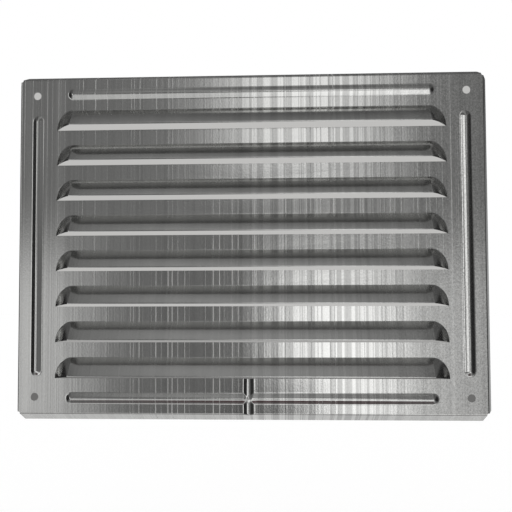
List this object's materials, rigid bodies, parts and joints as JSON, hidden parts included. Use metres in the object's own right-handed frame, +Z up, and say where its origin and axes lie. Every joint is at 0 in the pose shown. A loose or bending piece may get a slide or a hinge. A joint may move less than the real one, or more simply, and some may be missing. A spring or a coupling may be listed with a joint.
{
  "type": "louvred air grille",
  "caption": "Rectangular pressed sheet-steel wall grille with downward-facing louvres, raised stiffening beads, corner screw holes and folded-back edges.",
  "frame": {"origin": "middle of the rear rim, in the wall plane", "axes": "+X along the louvres, +Z up as installed with the louvre mouths facing down, -Y out of the wall into the room"},
  "size_m": [0.2568, 0.0155, 0.1888],
  "materials": {
    "bright_zinc_steel": "bright zinc- or tin-coated sheet, near mirror, with fine vertical rolling streaks and speckle"
  },
  "bodies": {
    "root": {"louvre_plate": "bright_zinc_steel"}
  },
  "joints": []
}
